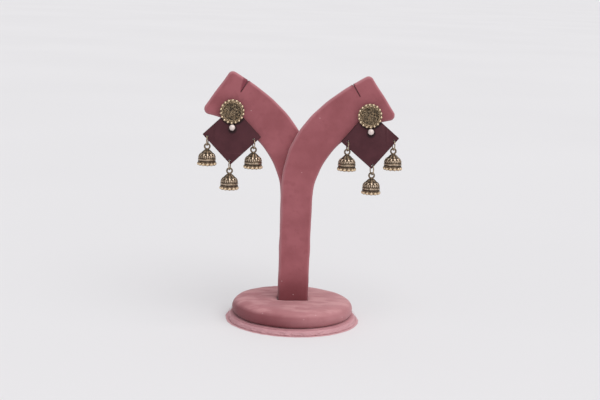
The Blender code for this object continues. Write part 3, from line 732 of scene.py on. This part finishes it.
def plate_parts(side_name):
    """The plate's square with small round corners, and its holes, as a slab.

    A hole is drawn where its ring's wire rests, so its middle is half the drill's play below its place.
    """
    reach = PLATE_HALF_DIAGONAL - PLATE_CORNER * math.sqrt(2)
    middle = np.array([PLATE_ASIDE[side_name], -PLATE_BELOW_POST])
    corners = [arc(middle + [reach, 0.0], PLATE_CORNER, -math.pi / 4, math.pi / 4, 0.12 * MM)]
    for quarter in range(1, 4):
        turn = math.pi / 2 * quarter
        spin = np.array([[math.cos(turn), math.sin(turn)], [-math.sin(turn), math.cos(turn)]])
        corners.append((corners[0] - middle) @ spin + middle)
    runs = [
        np.vstack([corner[:-1], straight(corner[-1], following[0], 1 * MM)[:-1]])
        for corner, following in zip(corners, corners[1:] + corners[:1])
    ]
    outward = SIDES[side_name] * (PLATE_HALF_DIAGONAL - SIDE_HOLE_INSET)
    places = {
        "outer": (outward, 0.0),
        "inner": (-outward, 0.0),
        "bottom": (0.0, BOTTOM_HOLE_INSET - PLATE_HALF_DIAGONAL),
    }
    holes = [arc((0.0, 0.0), EAR_HOLE_RADIUS, 0.0, math.tau, 0.2 * MM)[:-1]]
    for name, place in places.items():
        radius, right, above = np.array(PLATE_HOLES[side_name, name]) * MM
        holes.append(arc(middle + place + [right, above - HOLE_DROP], radius, 0.0, math.tau, 0.15 * MM)[:-1])
    parts = slab(np.vstack(runs), 0.16 * MM, holes, 0.1 * MM, PLATE_THICKNESS, turns=5, rim=0.2 * MM)
    return [(points * [1, 1, -1] + [0, 0, PLATE_FRONT], faces, lift) for points, faces, lift in parts]


def painted_shadow(finish, side_name, place, inner, outer):
    """1 near a place in the earring's own frame, falling to 0 further off: a painted contact shadow on the
    paint.
    """
    point = on_earring(side_name, [(np.array([place]) * MM, None, None)])[0][0][0]
    sockets = {0: finish.place, 1: tuple(point.tolist())}
    away = finish.node("ShaderNodeVectorMath", {"operation": "DISTANCE"}, sockets, "Value")
    return 1.0 - finish.between(away, inner * MM, outer * MM)


def make_paint(side_name):
    """A matt maroon paint that clouds a little, singed at the edges, with painted contact shadows at the stud
    and pearl.
    """
    gloss = {"Specular IOR Level": 0.2, "Coat Weight": 0.03, "Coat Roughness": 0.5}
    finish = Finish(f"{side_name}_maroon_paint", gloss)
    cloud = finish.between(finish.noise(160.0, 4.0), 0.3, 0.7)
    grain = finish.noise(1800.0, 4.0)
    tone = finish.mix(cloud, (0.078, 0.023, 0.03), (0.096, 0.029, 0.037))
    tone = finish.mix(finish.lift(), tone, (0.03, 0.014, 0.014))
    # Painted contact shadows: the paint is darkened round the stud and under the pearl.
    for place, inner, outer in ((STUD_SHADOW_MIDDLE, 7.0, 8.4), (PEARL_SHADOW_MIDDLE[side_name], 1.6, 3.4)):
        tone = finish.mix(0.85 * painted_shadow(finish, side_name, place, inner, outer), tone, CONTACT_SHADOW_TONE)
    return finish.paint(
        Base_Color=tone,
        Roughness=0.5 + 0.2 * grain,
        Normal=finish.bump(grain, 0.03 * MM, 0.4),
    )


for side_name in SIDES:
    plate_shape = on_earring(side_name, plate_parts(side_name))
    plate = put_piece(f"{side_name}_painted_plate", plate_shape, make_paint(side_name))
    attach(plate, "root")
    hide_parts(f"{side_name}_plate")


# The studs. Each is one casting: a round back with eighteen balls on its edge, a beaded ring inside them, and
# a low dome packed with granules. It is gilt, and the gilding has blackened in its hollows. The ear post is
# soldered behind.
STUD_DIAMETER = 14.8 * MM
STUD_BALL = 1.5 * MM
STUD_BALLS = 18
STUD_BACK = PLATE_FRONT + 0.15 * MM
STUD_HEIGHT = 1.5 * MM
STUD_CIRCLE = (STUD_DIAMETER - STUD_BALL) / 2
STUD_BEAD = 0.62 * MM
STUD_BEADS = 54
STUD_BEAD_CIRCLE = 5.6 * MM
STUD_DOME_RADIUS = 5.35 * MM
GRANULES = 300
GRANULE_RADIUS = 0.29 * MM
GOLDEN_TURN = math.pi * (3 - math.sqrt(5))
YELLOW_GILT = (0.98, 0.76, 0.44)
EAR_POST_RADIUS = 0.45 * MM
NUT_BACK = -BOARD_THICKNESS - 3.35 * MM

# Shares of the stud's ball circle and height, from the middle of its back to the middle of its front
STUD_ROWS = np.array(
    [
        (0.0, 0.0), (0.98, 0.0), (1.02, 0.12), (1.0, 0.34), (0.9, 0.42), (0.84, 0.62), (0.78, 0.52),
        (0.76, 0.3), (0.6, 0.36), (0.3, 0.5), (0.0, 0.55),
    ]
)


def ball(columns, rows):
    """A ball of radius 1 about the origin, from its lower pole to its upper one."""
    turn = np.linspace(-math.pi / 2, math.pi / 2, rows)
    return lathe(np.cos(turn), np.sin(turn), columns)


def scatter(template, places, sizes):
    """Copies of a grid, scaled by a size each and moved to their places."""
    return places[:, None, None] + np.reshape(sizes, (-1, 1, 1, 1)) * template


def ring_places(count, radius, height, first=0.0):
    """Places spaced evenly on a circle about Z."""
    angle = first + math.tau * np.arange(count) / count
    return np.column_stack([radius * np.cos(angle), radius * np.sin(angle), np.full(count, height)])


def ball_lift(template):
    """A ball's lift: 1 at its top, falling to its waist."""
    return np.clip(0.35 + 0.65 * template[..., 2], 0.0, 1.0)


def stud_parts():
    """The stud's turned back and dome, its balls, beads and granules, and the ear post."""
    rows = flowing(STUD_ROWS, 5)
    back_lift = np.where(rows[:, :1] > 0.8, 0.32, 0.05)
    back = shell(lathe(STUD_CIRCLE * rows[:, 0], STUD_BACK + STUD_HEIGHT * rows[:, 1], 90), back_lift)
    large, small, tiny = ball(18, 12), ball(10, 7), ball(9, 6)
    rim = ring_places(STUD_BALLS, STUD_CIRCLE, STUD_BACK + 0.55 * STUD_BALL, -math.pi / 2)
    beads = ring_places(STUD_BEADS, STUD_BEAD_CIRCLE, STUD_BACK + 0.62 * STUD_HEIGHT)
    index = np.arange(GRANULES) + 0.5
    reach = STUD_DOME_RADIUS * np.sqrt(index / GRANULES)
    turn = index * GOLDEN_TURN
    rise = STUD_BACK + STUD_HEIGHT * (0.52 - 0.16 * (reach / STUD_DOME_RADIUS) ** 2)
    grains = np.column_stack([reach * np.cos(turn), reach * np.sin(turn), rise])
    chance = np.random.default_rng(5)
    grains += chance.normal(0.0, 0.04, grains.shape) * MM
    sizes = GRANULE_RADIUS * chance.uniform(0.6, 1.15, GRANULES)
    rubbed = chance.uniform(0.2, 0.85, (GRANULES, 1, 1))
    tip = NUT_BACK - 0.8 * MM
    root = STUD_BACK + 0.4 * MM
    pin = [(0.0, tip), (0.6, tip), (0.95, tip + 0.2 * MM), (1.0, tip + 0.5 * MM), (1.0, root), (0.0, root)]
    pin_reach, pin_rise = np.array(pin).T
    return [
        back,
        shell(scatter(large, rim, STUD_BALL / 2), ball_lift(large)),
        shell(scatter(small, beads, STUD_BEAD / 2), 0.75 * ball_lift(small)),
        shell(scatter(tiny, grains, sizes), rubbed * ball_lift(tiny)),
        shell(lathe(EAR_POST_RADIUS * pin_reach, pin_rise, 24), 0.9),
    ]


def make_antique(name, hollow, gold, bright):
    """Antique gilding: blackened where the lift is low, gold above, and rubbed bright on the highest parts.

    Where the lift is above 1 the gilding is yellower, as on the balls under a bell's rim.
    """
    finish = Finish(name, {"Specular IOR Level": 0.5})
    lift = finish.lift()
    patchy = lift + 0.9 * finish.noise(1100.0, 3.0) - 0.45
    gilt = finish.between(patchy, 0.08, 0.5)
    rubbed = finish.between(patchy, 0.55, 1.0)
    tone = finish.mix(rubbed, finish.mix(gilt, hollow, gold), bright)
    tone = finish.mix(0.8 * finish.between(lift, 0.9, 1.2), tone, YELLOW_GILT)
    pits = finish.noise(3200.0, 3.0)
    return finish.paint(
        Base_Color=tone,
        Metallic=0.55 + 0.45 * gilt,
        Roughness=0.52 - 0.22 * gilt + 0.1 * pits,
        Normal=finish.bump(pits, 0.03 * MM, 0.35),
    )


stud_gilding = make_antique("stud_gilding", (0.05, 0.037, 0.027), (0.47, 0.35, 0.225), (0.88, 0.71, 0.5))
for side_name in SIDES:
    stud = put_piece(f"{side_name}_cast_stud", on_earring(side_name, stud_parts()), stud_gilding)
    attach(stud, "root")
    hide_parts(f"{side_name}_stud")


# The pearls. Each is one round bead with a pale pink skin. It is glued to the plate under the stud, on a
# small flat, whose edge is this far round from the middle of the bead's back.
PEARL_RADIUS = 1.78 * MM
PEARL_FLAT = math.asin(1.6 / 3.9)
PEARL_BELOW_POST = 9.335 * MM
PEARL_ASIDE = {"left": 0.4 * MM, "right": 0.0}
pearl_gloss = {"Roughness": 0.28, "Coat Weight": 0.7, "Coat Roughness": 0.12, "Sheen Weight": 0.15}
pearl_finish = Finish("pearl_skin", pearl_gloss)
pearl_cloud = pearl_finish.between(pearl_finish.noise(420.0, 2.0), 0.3, 0.7)
pearl_skin = pearl_finish.paint(
    Base_Color=pearl_finish.mix(pearl_cloud, (0.8, 0.66, 0.62), (0.88, 0.77, 0.73)),
    Normal=pearl_finish.bump(pearl_cloud, 0.05 * MM, 0.3),
)
pearl_turn = np.linspace(PEARL_FLAT, math.pi, 26)
pearl_reach = np.hstack([0.0, np.sin(pearl_turn)]) * PEARL_RADIUS
pearl_rise = np.hstack([-math.cos(PEARL_FLAT), -np.cos(pearl_turn)]) * PEARL_RADIUS
pearl_points = lathe(pearl_reach, pearl_rise, 48)
pearl_points += [0.0, -PEARL_BELOW_POST, STUD_BACK + PEARL_RADIUS * math.cos(PEARL_FLAT)]
for side_name in SIDES:
    pearl_part = shell(pearl_points + [PEARL_ASIDE[side_name], 0.0, 0.0], 1.0)
    pearl = put_piece(f"{side_name}_round_pearl", on_earring(side_name, [pearl_part]), pearl_skin)
    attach(pearl, "root")
    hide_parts(f"{side_name}_pearl")


# The ear nuts. Each is a flange and a barrel turned in one from steel, and pushed on the ear post behind the
# board. Its rows give a radius and a way back from the flange, in millimetres.
NUT_GAP = 0.15 * MM
NUT_ROWS = np.array(
    [
        (0.6, 0.0), (2.45, 0.0), (2.6, 0.12), (2.6, 0.66), (2.45, 0.8), (1.75, 0.86), (1.6, 1.0), (1.5, 1.5),
        (1.52, 2.3), (1.6, 2.9), (1.45, 3.2), (0.75, 3.2), (0.6, 3.1),
    ]
)
nut_finish = Finish("turned_steel", {"Metallic": 1.0})
nut_bands = {"Vector": nut_finish.place, "Scale": 900.0}
nut_rings = nut_finish.node("ShaderNodeTexWave", {"bands_direction": "Y"}, nut_bands)
nut_cloud = nut_finish.noise(700.0, 3.0)
nut_steel = nut_finish.paint(
    Base_Color=nut_finish.mix(nut_cloud, (0.5, 0.48, 0.46), (0.68, 0.66, 0.63)),
    Roughness=0.24 + 0.2 * nut_cloud,
    Normal=nut_finish.bump(nut_rings, 0.02 * MM, 0.2),
)
nut_rows = NUT_ROWS * MM
nut_points = lathe(nut_rows[:, 0], -BOARD_THICKNESS - NUT_GAP - nut_rows[:, 1], 48)
nut_part = shell(nut_points, 1.0, round_rows=True)
for side_name in SIDES:
    nut = put_piece(f"{side_name}_push_nut", on_earring(side_name, [nut_part]), nut_steel)
    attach(nut, "root")
    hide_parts(f"{side_name}_ear_nut")


# The jump rings. Each is bent from round gilt wire, and its two ends meet at a fine cut. It hangs in a hole
# of its plate, turned this many degrees about the vertical.
RING_CIRCLE = 2.93 * MM
RING_WIRE = 0.36 * MM
RING_START = math.radians(140)
RING_CUT = math.radians(2.5)
RING_TURNS = dict(zip(PLATE_HOLES, (8, -10, 10, -6, -5, -13)))


def wire_ring(circle, wire, start, end, columns=96, corners=16):
    """Round wire bent on a circle in the plane of Y and Z, from one angle to another, with closed ends."""
    angle = np.linspace(start, end, columns)
    girth = np.hstack([0.0, np.full(columns, wire), 0.0])
    angle = np.hstack([start, angle, end])
    corner = math.tau * np.arange(corners) / corners
    reach = circle + girth[:, None] * np.cos(corner)
    side = girth[:, None] * np.sin(corner)
    return np.stack([side, reach * np.cos(angle)[:, None], reach * np.sin(angle)[:, None]], -1)


def turned_up(points, degrees, place):
    """Points turned about the vertical and moved to a place."""
    turn = math.radians(degrees)
    spin = np.array([[math.cos(turn), math.sin(turn), 0], [-math.sin(turn), math.cos(turn), 0], [0, 0, 1]])
    return points @ spin + place


wire_finish = Finish("gilt_wire", {"Metallic": 1.0})
wire_cloud = wire_finish.between(wire_finish.noise(800.0, 3.0), 0.3, 0.7)
wire_gilding = wire_finish.paint(
    Base_Color=wire_finish.mix(wire_cloud, (0.33, 0.25, 0.175), (0.62, 0.51, 0.37)),
    Roughness=0.2 + 0.16 * wire_cloud,
    Normal=wire_finish.bump(wire_finish.noise(2500.0, 2.0), 0.02 * MM, 0.2),
)
for (side_name, hole), degrees in RING_TURNS.items():
    low, high = np.array(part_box(f"{side_name}_jump_ring_{hole}"))
    bent = wire_ring(RING_CIRCLE, RING_WIRE, RING_START + RING_CUT, RING_START + math.tau - RING_CUT)
    ring_part = shell(turned_up(bent, -degrees, (low + high) / 2), 1.0)
    ring = put_piece(f"{side_name}_wire_ring_{hole}", [ring_part], wire_gilding)
    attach(ring, "root")
    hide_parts(f"{side_name}_jump_ring_{hole}")


# The bells. Each jhumka is one hollow casting: a loop on a bead, a crown of eight leaves, a row of bosses and
# one of beads, a plain moulding, and twelve balls round the rim. It has the stud's blackened gilding, and
# hangs on its ring, turned this many degrees about the vertical.
BELL_RADIUS = 5.25 * MM
BELL_HEIGHT = 8.0 * MM
BELL_WALL = 0.7 * MM
BELL_BALL = 2.0 * MM
BELL_BALLS = 12
BELL_BALL_CIRCLE = 4.85 * MM
BELL_CROWN = -1.55 * MM
BALLS_LOW = -11.2 * MM
LOOP_CIRCLE = 1.55 * MM
LOOP_WIRE = 0.5 * MM
LEAVES = 8
BOSSES = 12
BEADS = 24
BELL_COLUMNS = 192
BELL_TURNS = dict(zip(PLATE_HOLES, (5, -6, 3, 8, 10, -4)))

# Shares of the bell's radius and height, from its crown down
BELL_ROWS = np.array(
    [
        (0.12, 0.0), (0.22, 0.03), (0.38, 0.13), (0.6, 0.27), (0.77, 0.39), (0.88, 0.5), (0.935, 0.62),
        (0.955, 0.72), (0.97, 0.84), (0.98, 0.93), (0.935, 0.99), (0.925, 1.04), (0.92, 1.15), (0.895, 1.175),
    ]
)

# Shares of the bell's inside radius at the rim and of its height, from the rim up to the roof
BELL_INSIDE = np.array(
    [(1.0, 1.175), (1.0, 0.95), (0.99, 0.85), (0.97, 0.66), (0.82, 0.47), (0.42, 0.3), (0.0, 0.25)]
)


def hump(distance, reach):
    """A round hump: 1 in the middle, falling as a quarter circle to 0 at its reach."""
    return np.sqrt(np.clip(1.0 - (distance / reach) ** 2, 0.0, 1.0))


def beside(angle, count):
    """How far an angle is from the nearest of some evenly spaced ones, as a share of the step between."""
    turn = angle * count / math.tau
    return np.abs((turn + 0.5) % 1.0 - 0.5)


def bell_relief(angle, level, reach):
    """How far the bell's ornament stands up, in millimetres, at an angle, a share of its height and a radius.

    A leaf is a hump across its own width, which grows and closes as a sine down the crown. Bosses and beads
    are round humps in rows, with fine granules above, and the mouldings are ridges with dark grooves by them.
    """
    around = math.tau * reach / MM
    drop = level * BELL_HEIGHT / MM
    down = np.clip((level - 0.03) / 0.33, 0.0, 1.0)
    width = 0.08 + 0.36 * np.sin(math.pi * down**0.7)
    leaf = np.sin(math.pi * down) ** 0.4 * hump(beside(angle, LEAVES), width)
    rib = leaf * np.exp(-((beside(angle, LEAVES) / 0.05) ** 2))
    boss = hump(np.hypot(beside(angle, BOSSES) * around / BOSSES, drop - 3.15), 0.66)
    seed = hump(np.hypot(beside(angle + math.pi / BOSSES, BOSSES) * around / BOSSES, drop - 2.75), 0.34)
    bead = hump(np.hypot(beside(angle, BEADS) * around / BEADS * 1.1, (drop - 4.4) / 1.25), 0.62)
    ridge = np.exp(-(((drop - 3.72) / 0.11) ** 2)) + np.exp(-(((drop - 5.12) / 0.12) ** 2))
    moulding = np.clip(1.0 - ((drop - 6.05) / 0.62) ** 4, 0.0, 1.0)
    scallop = np.clip((drop - 6.9) / 0.6, 0.0, 1.0) * (1.0 - 2.0 * beside(angle, BELL_BALLS))
    knobs = 0.17 * leaf + 0.07 * rib + 0.42 * boss + 0.22 * seed + 0.36 * bead
    return knobs + 0.16 * ridge + 0.3 * moulding + 0.2 * scallop


def bell_parts():
    """The bell about its loop's middle: dome and hollow as one surface, the loop, its bead and the balls."""
    outside = flowing(BELL_ROWS, 8)
    angle = math.tau * np.arange(BELL_COLUMNS) / BELL_COLUMNS
    reach, level = BELL_RADIUS * outside[:, :1], outside[:, 1:]
    height = BELL_CROWN - BELL_HEIGHT * level
    way = np.gradient(np.hstack([reach, height]), axis=0)
    way /= np.linalg.norm(way, axis=1, keepdims=True)
    relief = bell_relief(angle, level, reach)
    dome_reach = reach - way[:, 1:] * relief * MM
    dome_height = height + way[:, :1] * relief * MM
    inside = flowing(BELL_INSIDE, 3)
    hollow_reach = np.repeat((BELL_RADIUS * BELL_ROWS[-1, 0] - BELL_WALL) * inside[:, :1], BELL_COLUMNS, 1)
    hollow_height = np.repeat(BELL_CROWN - BELL_HEIGHT * inside[:, 1:], BELL_COLUMNS, 1)
    closed = np.zeros((1, BELL_COLUMNS))
    surface = lathe(
        np.vstack([closed, dome_reach, hollow_reach]),
        np.vstack([closed + BELL_CROWN, dome_height, hollow_height]),
        BELL_COLUMNS,
    )
    skirt = 0.42 * np.clip((level - 0.9) / 0.08, 0.0, 1.0)
    lift = np.vstack([closed, np.clip(relief / 0.4 + skirt, 0.0, 1.0), 0.0 * hollow_reach])
    large = ball(18, 12)
    rim_height = BALLS_LOW + BELL_BALL / 2
    balls = scatter(large, ring_places(BELL_BALLS, BELL_BALL_CIRCLE, rim_height, -math.pi / 2), BELL_BALL / 2)
    sideways = np.abs(large[..., 2])
    bead = np.array([(0.0, 0.55), (0.75, 0.5), (1.1, 0.1), (1.05, -0.3), (0.6, -0.55), (0.0, -0.6)]) * MM
    loop = wire_ring(LOOP_CIRCLE, LOOP_WIRE, 0.0, math.tau, 48)[1:-2]
    return [
        shell(surface, lift),
        shell(balls, np.clip(1.35 - 1.1 * sideways, 0.0, 1.25)),
        shell(lathe(bead[:, 0], BELL_CROWN - 0.1 * MM + bead[:, 1], 24), 0.5),
        shell(loop[..., [1, 0, 2]], 0.4, round_rows=True),
    ]


bell_gilding = make_antique("bell_gilding", (0.05, 0.034, 0.022), (0.27, 0.195, 0.128), (0.8, 0.64, 0.5))
for (side_name, hole), degrees in BELL_TURNS.items():
    low, high = np.array(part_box(f"{side_name}_jhumka_{hole}"))
    middle = (low + high) / 2
    middle[2] = low[2] - BALLS_LOW
    hung = [(turned_up(points, degrees, middle), faces, lift) for points, faces, lift in bell_parts()]
    bell = put_piece(f"{side_name}_cast_bell_{hole}", hung, bell_gilding)
    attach(bell, "root")
    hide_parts(f"{side_name}_jhumka_{hole}")
